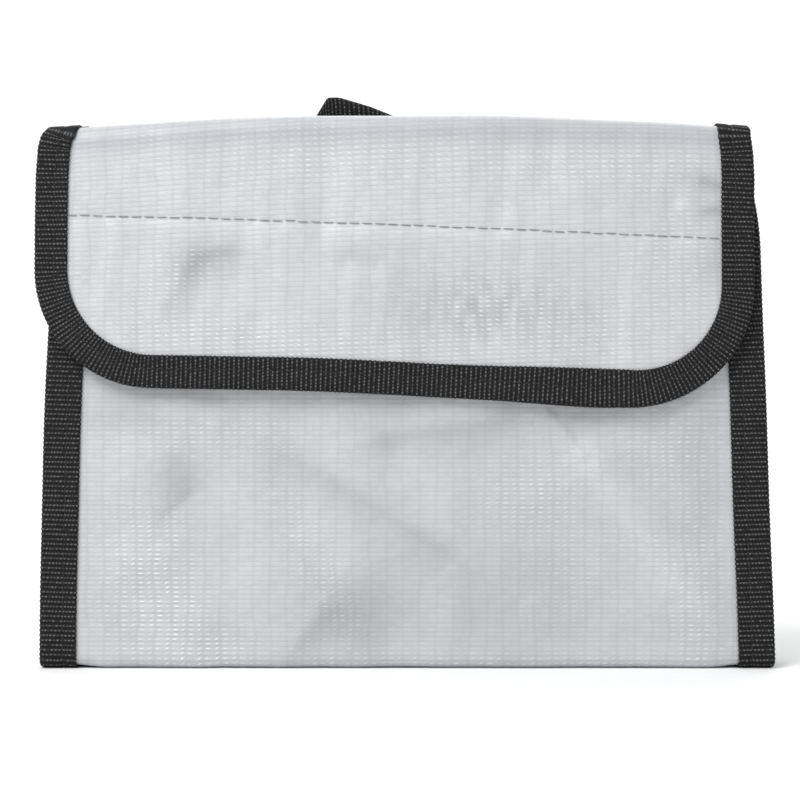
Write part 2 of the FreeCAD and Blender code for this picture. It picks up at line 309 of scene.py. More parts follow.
def weave_uv(tree):
    """The mesh's own coordinates in mm, across and along."""
    node = tree.nodes.new("ShaderNodeUVMap")
    node.uv_map = "weave"
    parts = tree.nodes.new("ShaderNodeSeparateXYZ")
    tree.links.new(node.outputs[0], parts.inputs[0])
    return node.outputs[0], parts.outputs[0], parts.outputs[1]


def noise(tree, vector, scale, detail=2.0, rough=0.5):
    """Noise of about 0 to 1; scale is in cells per unit of vector."""
    node = tree.nodes.new("ShaderNodeTexNoise")
    socket(tree, vector, node.inputs["Vector"])
    node.inputs["Scale"].default_value = scale
    node.inputs["Detail"].default_value = detail
    node.inputs["Roughness"].default_value = rough
    return node.outputs[0]


def attribute(tree, name):
    """Value painted on the points of a piece under that name; 0 where a piece has none."""
    node = tree.nodes.new("ShaderNodeAttribute")
    node.attribute_name = name
    return node.outputs["Fac"]


def paint(piece, name, values):
    """Writes one value, 0 to 1, per grid point on both faces of a sheet made by shell."""
    both = np.clip(np.concatenate([values.ravel(), values.ravel()]), 0.0, 1.0).astype(np.float32)
    piece.data.attributes.new(name, "FLOAT", "POINT").data.foreach_set("value", both)


def uneven(tree, a, b):
    """Random value, 0 to 1, for each whole (a, b) cell of a weave."""
    cell = tree.nodes.new("ShaderNodeCombineXYZ")
    socket(tree, calc(tree, "FLOOR", a), cell.inputs[0])
    socket(tree, calc(tree, "FLOOR", b), cell.inputs[1])
    node = tree.nodes.new("ShaderNodeTexWhiteNoise")
    node.noise_dimensions = "2D"
    tree.links.new(cell.outputs[0], node.inputs["Vector"])
    return node.outputs["Value"]


def start_material(name):
    """Empty node material with a Principled shader."""
    material = bpy.data.materials.new(name)
    material.use_nodes = True
    tree = material.node_tree
    shader = tree.nodes["Principled BSDF"]
    return material, tree, shader


def bump(tree, shader, height, strength, distance):
    """Fine relief of the surface from a height, distance in m."""
    node = tree.nodes.new("ShaderNodeBump")
    node.inputs["Strength"].default_value = strength
    node.inputs["Distance"].default_value = distance
    socket(tree, height, node.inputs["Height"])
    tree.links.new(node.outputs[0], shader.inputs["Normal"])


def silver_weave():
    """Silver film over an open glass weave: yarn columns 2.7 mm apart, rows 1.53 mm apart.

    Even columns show dots where the yarns cross and odd ones leaning dashes. In patches these are
    painted near white as painted glints of the film, with a painted shadow under each dash. The
    grooves between rows are painted darker as painted shade, and every other column is darker in the
    weave's own pattern.
    """
    material, tree, shader = start_material("silver_cloth")
    uv, u, v = weave_uv(tree)
    drift = times(tree, noise(tree, uv, 0.05, 1.0), 3.0)
    column = calc(tree, "DIVIDE", plus(tree, u, drift), 2.7)
    inside = calc(tree, "FRACT", column)
    odd = calc(tree, "MODULO", plus(tree, calc(tree, "FLOOR", column), 1000.0), 2.0)
    row = calc(tree, "DIVIDE", v, 1.53)
    crown = hump(tree, row)
    body = hump(tree, column)
    lean = calc(tree, "MULTIPLY_ADD", calc(tree, "SUBTRACT", inside, 0.5), -0.9, row)
    dash = times(tree, power(tree, hump(tree, lean), 12.0), power(tree, body, 5.0))
    dot = times(tree, power(tree, crown, 14.0), power(tree, body, 2.2))
    even = calc(tree, "SUBTRACT", 1.0, odd)
    spot = plus(tree, times(tree, odd, dash), times(tree, even, dot))
    # Painted shadow: under marks the strip just below each dash, which is painted darker inside the glint
    # patches.
    under = power(tree, hump(tree, plus(tree, row, 0.30)), 9.0)
    under = times(tree, under, power(tree, body, 1.5))
    # Painted glints: speck and drifts, with the painted glint mask, choose the patches where dots and dashes
    # are painted near white; the same value also lowers the roughness there.
    speck = line_of(tree, noise(tree, uv, 0.35, 2.0, 0.6), 3.4, -1.2)
    drifts = line_of(tree, noise(tree, uv, 0.028, 2.0, 0.45), 7.0, -4.1)
    gloss_and_painted_glint = times(tree, plus(tree, attribute(tree, "gloss_and_painted_glint"), times(tree, drifts, 0.35)), speck)
    fibre = noise(tree, uv, 1.9, 3.0, 0.7)
    # Painted shade: groove paints the hollows between rows darker; side darkens every other column as part
    # of the weave's pattern.
    groove = power(tree, calc(tree, "SUBTRACT", 1.0, crown), 3.5)
    pair = calc(tree, "COSINE", times(tree, calc(tree, "FRACT", times(tree, column, 0.5)), math.pi))
    side = power(tree, calc(tree, "ABSOLUTE", pair), 30.0)
    dark = plus(tree, times(tree, groove, 0.62), times(tree, side, 0.22))
    dark = times(tree, dark, line_of(tree, fibre, 2.0, -0.4))
    dark = plus(tree, dark, times(tree, times(tree, under, gloss_and_painted_glint), 0.55))
    cloud = times(tree, noise(tree, uv, 0.045, 3.0), 0.9)
    tone = blend_colour(tree, cloud, (0.545, 0.547, 0.558, 1), (0.615, 0.616, 0.624, 1))
    # Painted reflection and shade: a bluish, darker tint where the cloth turns away from the light.
    tone = blend_colour(tree, attribute(tree, "painted_reflection"), tone, (0.43, 0.455, 0.50, 1))
    cell = line_of(tree, uneven(tree, column, row), 0.20, 0.0)
    tone = blend_colour(tree, cell, tone, (0.40, 0.405, 0.42, 1))
    # Painted shade: the painted mask darkens the cloth in folds and creases, under the flap's hem and on the
    # front of the top fold.
    dim = times(tree, attribute(tree, "soil_and_painted_shade"), calc(tree, "MULTIPLY_ADD", fibre, 0.5, 0.45))
    tone = blend_colour(tree, dim, tone, (0.30, 0.305, 0.315, 1))
    # Painted shade in the row grooves and painted shadow under the dashes, together with the darker columns
    # of the weave.
    tone = blend_colour(tree, dark, tone, (0.29, 0.295, 0.31, 1))
    # Painted highlight: dots and dashes inside the glint patches are painted near white.
    glint = calc(tree, "MULTIPLY", spot, calc(tree, "MULTIPLY_ADD", gloss_and_painted_glint, 1.15, 0.05), clamp=True)
    tone = blend_colour(tree, glint, tone, (0.97, 0.98, 0.99, 1))
    socket(tree, tone, shader.inputs["Base Color"])
    shader.inputs["Metallic"].default_value = 0.18
    socket(tree, calc(tree, "MULTIPLY_ADD", gloss_and_painted_glint, -0.14, 0.54), shader.inputs["Roughness"])
    relief = plus(tree, times(tree, crown, 0.5), times(tree, spot, 0.8))
    bump(tree, shader, plus(tree, relief, times(tree, fibre, 0.35)), 0.45, 0.00011)
    return material


SILVER = silver_weave()
front_cloth.data.materials.append(SILVER)
low = q - FOOT_Q
# Painted glints: in these patches of the front wall the dots and dashes are painted near white.
shine = swells(across, low, (
    (1.0, -84, 26, 15, 20), (0.7, -66, 8, 16, 6), (0.7, 94, 30, 9, 34), (0.55, 84, 74, 16, 12),
    (0.45, -70, 78, 26, 8), (0.7, 40, 3, 70, 4), (0.35, 52, 34, 14, 22),
))
shine += 0.75 * patch(across + 0.62 * low, low, -62, 16, 9, 26)
shine += 0.5 * patch(across + 0.5 * low, low, -12, 36, 9, 30)
shine += 0.6 * patch(across - 0.3 * low, low, 22, 60, 16, 12)
paint(front_cloth, "gloss_and_painted_glint", shine)
# Painted reflection and shade: a bluish, darker band along the base corner and up the right side of the
# front wall.
sky = 0.9 * np.exp(-((low - 0.5) / 2.6) ** 2)
paint(front_cloth, "painted_reflection", sky + 0.25 * patch(across, low, 98, 60, 10, 60))
# Painted shade: folds, creases and the strips under the flap's hem and corners are painted darker, and two
# ridges are kept lighter; the small wavy amount added when painting is random uneven tone.
soil_and_painted_shade = swells(across, low, (
    (0.62, -17, 19, 17, 13), (0.42, 34, 27, 26, 20), (0.45, -74, 64, 9, 9), (0.5, -88, 84, 12, 5),
    (0.30, 90, 66, 14, 16), (0.2, 48, 55, 18, 10),
))
soil_and_painted_shade += creases(across, low, (
    (0.62, (-8.0, 77.0), (34.0, 83.0), 2.5, 5.0), (0.42, (-38.0, 71.0), (12.0, 41.0), 2.0, 7.0),
    (0.45, (-80.0, 52.0), (-72.0, 60.0), 1.5, 3.0, 0.6), (0.35, (-40.0, 3.0), (-26.0, 20.0), 1.5, 5.0),
    (-0.5, (62.0, 68.0), (101.0, 19.0), 2.5, 2.5), (-0.4, (-86.0, 20.0), (-68.0, 4.0), 1.5, 1.5),
))
# Painted shade of small puckers under the flap's right corner.
puckers = 0.5 + 0.5 * np.sin(2.7 * low + 0.12 * across)
soil_and_painted_shade += 0.55 * puckers * patch(across, low, 100, 88, 14, 7)
paint(front_cloth, "soil_and_painted_shade", soil_and_painted_shade + 0.10 + 0.07 * waves(across, low, 61, 22.0))
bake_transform(front_cloth)
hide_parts("front_panel")


# ---------------------------------------------------------------- back wall
# The same cloth goes on from the middle of the base up the back of the bag, where the handle is
# sewn to it. It runs on over the top, so the next section cuts wall and top fold in one.
BACK_TOP = 168.0
BACK = profile([(0.0, BASE_Z, 0.0), (FOOT_Y, BASE_Z, 5.5), (wall_y(190.0), 190.0, 0.0)])
BACK_END = float(np.interp(BACK_TOP, BACK[1][:, 1], BACK[0]))


def back_relief(x, q):
    """Relief of the back cloth in mm: broad, shallow folds that die out at every bound edge."""
    z = q - FOOT_Q
    free = ramp(z / 12.0) * ramp((108.0 - np.abs(x)) / 16.0) * ramp((BACK_TOP - 4.0 - z) / 14.0)
    calm = 1.0 - patch(x, z, -53, 152, 18, 20) - patch(x, z, 53, 152, 18, 20)
    folds = 0.8 * waves(x, 0.35 * z, 13, 34.0) + 0.35 * waves(x, 0.6 * z, 14, 13.0)
    folds += creases(x, z, (
        (1.6, (-92.0, 60.0), (-40.0, 20.0), 12.0, 16.0), (-1.2, (20.0, 110.0), (70.0, 64.0), 14.0, 9.0),
    ))
    return free * calm * folds + base_sag(x, q)


def back_place(x, q, h):
    """Point of the back cloth: x across, q mm along it from the middle of the base, h out of it."""
    y, z = on_profile(BACK, q, h + back_relief(x, q), 1.0)
    return x + 0.0 * y, y, z


# ---------------------------------------------------------------- top fold and flap
# The back cloth carries on over the top as a strip the depth of the bag and then down the front
# as the flap. It is creased, not seamed, at both folds, and its crest bows up in the middle.
TOP_Z = 177.4
FLAP_OUT = 4.3
LID_MIDDLE = -1.0


def crest(x):
    """How far the top fold rises above its ends, in mm."""
    return 4.2 * (1.0 - (x / 112.0) ** 2) + 0.25 * waves(x, 0.0, 21, 60.0)


LID = profile([
    (wall_y(BACK_TOP), BACK_TOP, 0.0),
    (wall_y(TOP_Z), TOP_Z, 5.0),
    (LID_MIDDLE, TOP_Z, 0.0),
])
LID_END = float(LID[0][-1])


def lid_place(x, q, h):
    """Point of the lid strip: q mm from the top of the back wall to the middle of the lid."""
    y, z = on_profile(LID, q, h, 1.0)
    return x + 0.0 * y, y, z + crest(x) * ramp((q - 3.0) / 8.0)


def wrap_place(x, q, h):
    """The back cloth's own flat carried on over the top fold as far as the middle of the lid."""
    up = back_place(x, np.minimum(q, BACK_END), h)
    over = lid_place(x, np.maximum(q - BACK_END, 0.0), h)
    return tuple(np.where(q < BACK_END, a, b) for a, b in zip(up, over))


WRAP_END = BACK_END + LID_END


def wrap_half(q, side):
    """Half width of the back cloth, tape included, up the wall and along the lid."""
    wall = half_width(np.minimum(q, BACK_END) - FOOT_Q)
    return wall + ramp((q - BACK_END) / LID_END) * (2.9 if side < 0 else -2.4)


q, t = np.meshgrid(np.linspace(0.0, WRAP_END, 160), np.linspace(0.0, 1.0, 190), indexing="ij")
left, right = -wrap_half(q, -1.0) + CLOTH_INSET, wrap_half(q, 1.0) - CLOTH_INSET
across = left + (right - left) * t
skin = np.stack(wrap_place(across, q, 0.0), axis=-1)
back_cloth = shell("back_cloth", skin, np.stack([across, q], axis=-1), CLOTH_THICKNESS, flip=False)
back_cloth.data.materials.append(SILVER)
# Painted glints on the back wall and top fold.
paint(back_cloth, "gloss_and_painted_glint", swells(across, q - FOOT_Q, (
    (0.8, 84, 30, 16, 34), (0.6, -80, 60, 14, 26), (0.5, 10, 96, 26, 12), (0.5, -20, 24, 20, 12),
)))
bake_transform(back_cloth)
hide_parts("back_panel", "base_panel", "lid_panel")


FLAP_CORNER = 5.5
FLAP = profile([
    (LID_MIDDLE, TOP_Z, 0.0),
    (-wall_y(TOP_Z) - FLAP_OUT, TOP_Z, FLAP_CORNER),
    (-wall_y(60.0) - FLAP_OUT, 60.0, 0.0),
])
STRAIGHT_Z = TOP_Z - FLAP_CORNER
FLAP_STRAIGHT = float(np.interp(-STRAIGHT_Z, -FLAP[1][:, 1], FLAP[0]))


def flap_q(z):
    """Distance along the flap from the middle of the lid down to height z on its straight part."""
    fall = -FLAP[1][1:, 1]
    return np.interp(-np.asarray(z, dtype=float), fall + 1e-6 * np.arange(len(fall)), FLAP[0][1:])


def flap_relief(x, q):
    """Relief of the flap in mm: soft upright folds, a crumple at the left and a pull along the seam."""
    z = STRAIGHT_Z - (q - FLAP_STRAIGHT)
    free = ramp((q - 8.0) / 10.0) * ramp((112.0 - np.abs(x + 4.0)) / 14.0)
    broad = 0.34 * waves(x, 0.30 * z, 23, 26.0) + 0.14 * waves(x, 0.5 * z, 24, 11.0)
    crumple = swells(x, z, ((-1.3, -66, 128, 10, 8), (1.0, 26, 140, 44, 7), (1.0, 98, 137, 8, 8)))
    crumple += creases(x, z, (
        (0.5, (-79.0, 118.0), (-71.0, 131.0), 2.5, 5.0), (0.9, (90.0, 150.0), (104.0, 147.5), 2.5, 2.5),
        (-1.0, (92.0, 160.0), (104.0, 155.0), 1.8, 3.0, 0.8),
    ))
    wrinkled = patch(x, z, 22, 117, 30, 12) + 0.6 * patch(x, z, -14, 134, 12, 4)
    crumple += (0.22 * waves(1.6 * x, 0.7 * z, 26, 7.0) - 0.5) * wrinkled
    seam = 147.9 - 0.034 * (x + 111.0)
    pull = -0.30 * np.exp(-((z - seam) / 2.2) ** 2)
    strip = 0.35 / (1.0 + np.exp((z - seam) / 1.5))
    lift = swells(x, z, ((1.0, 58, 84, 30, 9), (0.9, -76, 86, 20, 8)))
    return free * (broad + crumple + pull + strip) + lift


def flap_place(x, q, h):
    """Point of the flap: x across, q mm along it from the middle of the lid, h out of it.

    The crest of the top fold dies out over 50 mm down the flap.
    """
    y, z = on_profile(FLAP, q, h + flap_relief(x, q), 1.0)
    return x + 0.0 * y, y, z + crest(x) * ramp(1.0 - (q - 12.0) / 50.0) ** 2


FLAP_LEFT, FLAP_RIGHT, HEM_Z, HEM_RADIUS = -121.9, 113.4, 92.7, 39.0
HEM_SLOPE = math.atan(8.0 / 235.3)
SIDE_ROWS, TURN_ROWS = 6, 40


def flap_outline(inset=0.0):
    """Outline of the flap in its own flat (x, q): down one side, round the hem and up the other.

    Nearly straight sides and a hem z = 92.7 - 0.034 (x + 121.9), joined by corners of 39 mm
    radius. The hem hangs 1.3 mm lower round x = 60 and 0.9 mm higher round x = -30.
    """
    left, right, radius = FLAP_LEFT + inset, FLAP_RIGHT - inset, HEM_RADIUS - inset
    rise, reach = inset / math.cos(HEM_SLOPE), radius / math.cos(HEM_SLOPE)

    def corner(x, first, last, share):
        """Centre of a corner's arc, and the arc: the hem's slope is eased in by share."""
        centre = np.array([x, HEM_Z - (x - FLAP_LEFT) * math.tan(HEM_SLOPE) + rise + reach])
        turn = np.radians(np.linspace(first, last, TURN_ROWS)) - HEM_SLOPE * share
        return centre, centre + radius * np.stack([np.cos(turn), np.sin(turn)], axis=1)

    grow = np.linspace(0.0, 1.0, TURN_ROWS)
    a, first_arc = corner(left + radius, 180.0, 270.0, grow)
    b, last_arc = corner(right - radius, 270.0, 360.0, grow[::-1])
    w = np.linspace(0.06, 0.94, TURN_ROWS)[:, None]
    line = np.concatenate([
        [(left + 3.6, 200.0), (left + 3.0, 178.0), (left + 1.8, 175.5)],
        [(left + 0.8, 171.0), (left + 0.2, 162.0), (left, 148.0)],
        first_arc, a * (1 - w) + b * w - (0.0, reach), last_arc,
        [(right, 148.0), (right + 0.2, 160.0), (right - 0.1, 168.0)],
        [(right - 0.9, 174.6), (right - 0.7, 177.5), (right - 0.7, 200.0)],
    ])
    low, high = (line[:, 0] - 60.0) / 24.0, (line[:, 0] + 30.0) / 40.0
    swag = 1.3 * np.exp(-low ** 2) - 0.9 * np.exp(-high ** 2)
    line[:, 1] -= np.where(line[:, 1] < 120.0, swag, 0.0)
    return np.stack([line[:, 0], FLAP_STRAIGHT + (STRAIGHT_Z - line[:, 1]) / math.cos(LEAN)], axis=1)


def resample(line, step):
    """Even points along a line, step mm apart or a little less."""
    length = lengths(line)
    s = np.linspace(0.0, length[-1], max(2, int(length[-1] / step) + 2))
    return s, np.stack([np.interp(s, length, line[:, k]) for k in (0, 1)], axis=1)


def flap_grid(inset, first, last, rows, columns):
    """Even (x, q) grid inside the flap's outline, from the shares first to last of the way down."""
    outline = flap_outline(inset)
    down, round_hem, up = outline[:SIDE_ROWS], outline[SIDE_ROWS:-SIDE_ROWS], outline[:-SIDE_ROWS - 1:-1]
    share = np.linspace(0.0, 1.0, columns)
    full = round_hem[0, 0] + (round_hem[-1, 0] - round_hem[0, 0]) * share
    q = np.linspace(first, last, rows)[:, None] * np.interp(full, *round_hem.T)[None, :]
    left, right = np.interp(q, down[:, 1], down[:, 0]), np.interp(q, up[:, 1], up[:, 0])
    return left + (right - left) * share, q


across, q = flap_grid(1.0, 0.0, 1.0, 150, 220)
skin = np.stack(flap_place(across, q, 0.0), axis=-1)
uv = np.stack([across, q + 0.034 * across], axis=-1)
flap_cloth = shell("flap_cloth", skin, uv, CLOTH_THICKNESS, flip=False)
flap_cloth.data.materials.append(SILVER)
height = STRAIGHT_Z - (q - FLAP_STRAIGHT)
# Painted glints on the flap.
paint(flap_cloth, "gloss_and_painted_glint", swells(across, height, (
    (0.8, -68, 109, 26, 6), (0.6, -20, 104, 40, 7), (0.7, 26, 118, 26, 12), (0.5, 60, 108, 26, 14),
    (0.6, -72, 131, 12, 7), (0.5, 92, 132, 12, 20), (0.45, -20, 164, 60, 8), (0.5, 70, 162, 34, 9),
)))
# Painted shade: the flap's creases and crumples are painted darker.
soil_and_painted_shade = creases(across, height, (
    (0.75, (-70.0, 134.0), (-58.0, 136.0), 2.0, 2.5), (0.5, (-79.0, 119.0), (-72.0, 130.0), 1.5, 3.0),
    (1.0, (97.0, 159.0), (106.0, 156.0), 1.8, 2.6, 0.8), (0.9, (98.0, 149.0), (106.0, 150.5), 1.2, 1.6, 0.6),
))
soil_and_painted_shade += swells(across, height, ((0.25, -66, 127, 12, 9), (0.4, 100, 132, 7, 8)))
wrinkled = swells(across, height, ((1.0, 24, 117, 32, 11), (0.7, -16, 134, 10, 3)))
soil_and_painted_shade += 0.50 * wrinkled * (1.0 + 0.35 * waves(2.0 * across, 0.8 * height, 62, 8.0))
# Painted shade: a darker band along the front of the top fold.
paint(flap_cloth, "soil_and_painted_shade", soil_and_painted_shade + 0.45 * np.exp(-((height - 175.0) / 4.5) ** 2))
# Painted reflection and shade: a bluish, darker band along the top fold and a patch high up near the flap's
# right edge.
sky = 0.55 * np.exp(-((height - 172.0) / 4.2) ** 2)
paint(flap_cloth, "painted_reflection", sky + 0.3 * patch(across, height, 88, 152, 20, 10))
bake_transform(flap_cloth)
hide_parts("flap_panel")


# ---------------------------------------------------------------- tape round the flap
# Black grosgrain tape, 24 mm wide, is folded lengthwise over the flap's two sides and hem and
# lockstitched through every layer. Its ribs run across it; it starts and ends on the lid strip.
RIB = 1.57


def grosgrain():
    """Black ribbed tape: warp dots catch the light on the crown of every rib; uv is (along, across)."""
    material, tree, shader = start_material("binding_tape")
    uv, u, v = weave_uv(tree)
    rib = calc(tree, "DIVIDE", u, RIB)
    crown = calc(tree, "ABSOLUTE", calc(tree, "COSINE", times(tree, rib, math.pi)))
    shift = times(tree, noise(tree, uv, 0.08, 2.0), 3.0)
    warp = plus(tree, calc(tree, "DIVIDE", v, 1.14), calc(tree, "MULTIPLY_ADD", rib, 0.28, shift))
    thread = calc(tree, "ABSOLUTE", calc(tree, "SINE", times(tree, warp, math.pi)))
    fleck = noise(tree, uv, 0.75, 2.0, 0.6)
    dot = times(tree, power(tree, crown, 9.0), power(tree, thread, 3.5))
    worn = noise(tree, uv, 0.05, 3.0)
    tone = blend_colour(tree, worn, (0.004, 0.004, 0.0045, 1), (0.008, 0.008, 0.0085, 1))
    # Painted highlight: the rib crowns are painted a little lighter.
    rise = times(tree, power(tree, crown, 5.0), line_of(tree, fleck, 1.2, 0.1))
    tone = blend_colour(tree, rise, tone, (0.032, 0.032, 0.033, 1))
    # Painted highlight: the warp dots on each rib crown are painted lighter.
    lit = times(tree, dot, line_of(tree, fleck, 3.6, -1.25))
    tone = blend_colour(tree, lit, tone, (0.21, 0.21, 0.215, 1))
    socket(tree, tone, shader.inputs["Base Color"])
    shader.inputs["Roughness"].default_value = 0.7
    shader.inputs["Specular IOR Level"].default_value = 0.18
    bump(tree, shader, plus(tree, dot, times(tree, fleck, 0.3)), 0.6, 0.00018)
    return material


TAPE = grosgrain()


def ribbed(s):
    """Height of the ribs, 0 to 1, at s mm along a tape."""
    return 0.5 + 0.5 * np.cos(2 * np.pi * s / RIB)


def eased(rows, count):
    """Columns of rows smoothed by a raised cosine count samples wide."""
    window = np.hanning(count) / np.hanning(count).sum()
    padded = np.pad(rows, ((count // 2, count // 2), (0, 0)), mode="edge")
    return np.stack([np.convolve(column, window, "valid") for column in padded.T], axis=1)


def tube_faces(rows, columns, turned=False):
    """Faces of a closed tube, rows sections of columns points each, and its two end caps.

    turned winds the caps the other way round.
    """
    caps = [list(range(columns)), list(range((rows - 1) * columns, rows * columns))[::-1]]
    return [tuple(f) for f in cells(rows, columns, wrap=True)] + [c[::-1] if turned else c for c in caps]


def inward_of(line, inward, ease=1):
    """Unit direction across a flat line, to its left where inward is 1 and its right where -1."""
    way = unit(eased(np.gradient(line, axis=0), ease) if ease > 1 else np.gradient(line, axis=0))
    return inward * np.stack([-way[:, 1], way[:, 0]], axis=1)


TAPE_MID, TAPE_CORE, TAPE_THICK = -0.5, 0.55, 0.65
SEAM_IN = 4.3
LEG, INNER_LEG = 18, 5


def tape(name, path, place, inward, width, step=0.27):
    """Tape folded over an edge. path is the edge in flat (x, q); place lifts (x, q, h) into space.

    Across the fold the section is a U: out along one leg, half a turn of radius core + thick, back
    along the other; the inside is the same U at radius core. Ribs lift the outside by
    0.22 (1 + cos(2 pi s / 1.57)) / 2, and a groove runs where the seam pulls the leg down. width is
    in mm, or a function that gives it for every point of the line.
    """
    s, line = resample(path, step)
    into = inward_of(line, inward, 13)
    outer = TAPE_CORE + TAPE_THICK
    wide = width(line)[:, None] if callable(width) else np.full((len(s), 1), width)
    turn = np.radians(np.linspace(90.0, -90.0, 9))[1:-1]
    leg = outer + (wide - outer) * np.linspace(1.0, 0.0, LEG)
    bend = np.broadcast_to(outer - outer * np.cos(turn), (len(s), len(turn)))
    a_out = np.concatenate([leg, bend, leg[:, ::-1]], axis=1)
    h_out = np.concatenate([np.full(LEG, outer), outer * np.sin(turn), np.full(LEG, -outer)])
    n_a = np.concatenate([np.zeros(LEG), -np.cos(turn), np.zeros(LEG)])
    n_h = np.concatenate([np.ones(LEG), np.sin(turn), -np.ones(LEG)])
    groove = np.exp(-((a_out - (wide.min() - SEAM_IN)) / 0.55) ** 2) * (np.abs(n_a) < 0.1)
    leg = outer + (wide - outer) * np.linspace(1.0, 0.0, INNER_LEG)
    bend = np.broadcast_to(outer - TAPE_CORE * np.cos(turn[1:-1]), (len(s), len(turn) - 2))
    a_in = np.concatenate([leg, bend, leg[:, ::-1]], axis=1)
    h_in = np.concatenate([
        np.full(INNER_LEG, -TAPE_CORE), -TAPE_CORE * np.sin(turn[1:-1]), np.full(INNER_LEG, TAPE_CORE)
    ])
    rib = ribbed(s)[:, None]
    lift = 0.22 * rib - 0.34 * groove
    a = np.concatenate([a_out + n_a * lift, a_in], axis=1)
    h = np.concatenate([h_out + n_h * lift, np.broadcast_to(h_in, a_in.shape)], axis=1)
    for column in (0, len(h_out) - 1, len(h_out), len(h_out) + len(h_in) - 1):
        a[:, column] += 0.30 * rib[:, 0]
    x, q = (line[:, k:k + 1] + a * into[:, k:k + 1] for k in (0, 1))
    points = np.stack(place(x, q, TAPE_MID + h), axis=-1)
    around = np.concatenate([[0.0], np.cumsum(np.hypot(np.diff(a_out[0]), np.diff(h_out)))])
    around = np.concatenate([around, np.linspace(around[-1], 0.0, len(h_in))])
    uv = np.stack(np.broadcast_arrays(s[:, None], around[None]), axis=-1)
    piece = make(name, points, tube_faces(*x.shape), uv)
    piece.data.materials.append(TAPE)
    return piece


def yarn(name, tone, worn):
    """Twisted sewing thread: fine diagonal plies along the stitch; uv is (along, round)."""
    material, tree, shader = start_material(name)
    uv, u, v = weave_uv(tree)
    ply = calc(tree, "SINE", plus(tree, times(tree, u, 9.0), times(tree, v, 7.0)))
    fleck = noise(tree, uv, 1.2, 2.0)
    colour = blend_colour(tree, calc(tree, "MULTIPLY_ADD", ply, 0.25, fleck, clamp=True), tone, worn)
    socket(tree, colour, shader.inputs["Base Color"])
    shader.inputs["Roughness"].default_value = 0.75
    shader.inputs["Specular IOR Level"].default_value = 0.2
    bump(tree, shader, ply, 0.15, 0.00005)
    return material


BLACK_THREAD = yarn("black_thread", (0.012, 0.012, 0.013, 1), (0.045, 0.045, 0.048, 1))
GREY_THREAD = yarn("grey_thread", (0.19, 0.193, 0.20, 1), (0.33, 0.335, 0.345, 1))


def stitches(name, path, place, out, pitch, length, radius, material, wander=0.0):
    """Row of single stitches on a path: each is a rod of that length bowed out 0.2 mm at its middle.

    Radius along a stitch is radius * sqrt(1 - t^6), with t from -1 to 1.
    """
    total, line = resample(path, 0.5)
    middle = np.arange(pitch * 0.5, total[-1], pitch)
    t = np.linspace(-1.0, 1.0, 7)
    angle = np.linspace(0.0, 2 * np.pi, 7)[:-1]
    s = middle[:, None, None] + t[None, :, None] * length / 2 + 0.0 * angle
    r = radius * np.sqrt(np.clip(1.0 - t ** 6, 0.02, 1.0))[None, :, None]
    rng = np.random.default_rng(len(name) * 7 + len(middle))
    aside = wander * rng.uniform(-1.0, 1.0, (len(middle), 1, 1)) + r * np.cos(angle)
    h = out + r * np.sin(angle) + 0.2 * (1.0 - t ** 2)[None, :, None]
    x0, q0 = (np.interp(s, total, line[:, k]) for k in (0, 1))
    x1, q1 = (np.interp(s + 0.3, total, line[:, k]) for k in (0, 1))
    along = np.stack([x1 - x0, q1 - q0]) + 1e-9
    along /= np.hypot(*along)
    points = np.stack(place(x0 - along[1] * aside, q0 + along[0] * aside, h), axis=-1)
    one = cells(7, 6, wrap=True)
    first = np.arange(len(middle)) * 7 * 6
    faces = (one[None] + first[:, None, None]).reshape(-1, 4)
    ends = [[k + m for m in range(5, -1, -1)] for k in first]
    ends += [[k + 36 + m for m in range(6)] for k in first]
    uv = np.stack(np.broadcast_arrays(s, angle * radius), axis=-1)
    piece = make(name, points, [tuple(f) for f in faces] + ends, uv)
    piece.data.materials.append(material)
    return piece


def seam_line(path, inward, distance):
    """The same path moved in by distance mm."""
    line = resample(path, 0.5)[1]
    return line + distance * inward_of(line, inward)


def tape_seam(name, path, place, inward, distance):
    """Black lockstitch 3 mm a stitch along a tape, distance mm in from its folded edge."""
    line = seam_line(path, inward, distance)
    return stitches(name, line, place, 0.42, 3.0, 2.3, 0.24, BLACK_THREAD)


FLAP_TAPE_WIDTH = 10.6


def flap_tape_width(line):
    """Tape width round the flap: 10.6 mm, and 1.9 mm more where the hem sags right of the middle."""
    return FLAP_TAPE_WIDTH + 1.9 * np.exp(-((line[:, 0] - 60.0) / 27.0) ** 2) * (line[:, 1] > 60.0)


edge = resample(flap_outline(), 0.25)[1]
edge = edge[edge[:, 1] >= 0.0]
flap_tape = tape("flap_tape", edge, flap_place, -1.0, flap_tape_width, step=0.32)
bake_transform(flap_tape)
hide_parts("flap_binding")
flap_tape_seam = tape_seam("flap_tape_seam", edge, flap_place, -1.0, FLAP_TAPE_WIDTH - SEAM_IN)
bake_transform(flap_tape_seam)


# ---------------------------------------------------------------- seam across the flap
# One row of grey lockstitch, 4.2 mm a stitch, goes right across the flap and holds the top of
# the hook strip behind it.
seam_x = np.linspace(-111.8, 102.8, 80)
seam = np.stack([seam_x, flap_q(148.1 - 0.0365 * (seam_x + 111.7))], axis=1)
flap_seam = stitches("flap_seam", seam, flap_place, 0.12, 4.2, 3.6, 0.15, GREY_THREAD, wander=0.12)
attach(flap_seam, "flap")
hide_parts("flap_seam_thread")


# ---------------------------------------------------------------- tape up the sides of the body
# The same tape closes the seams between gusset and walls: from the middle of the base up the
# front to the mouth, and from the base up the back and over the top fold. It wanders by 0.08 mm.
BODY_TAPE_WIDTH = 11.8

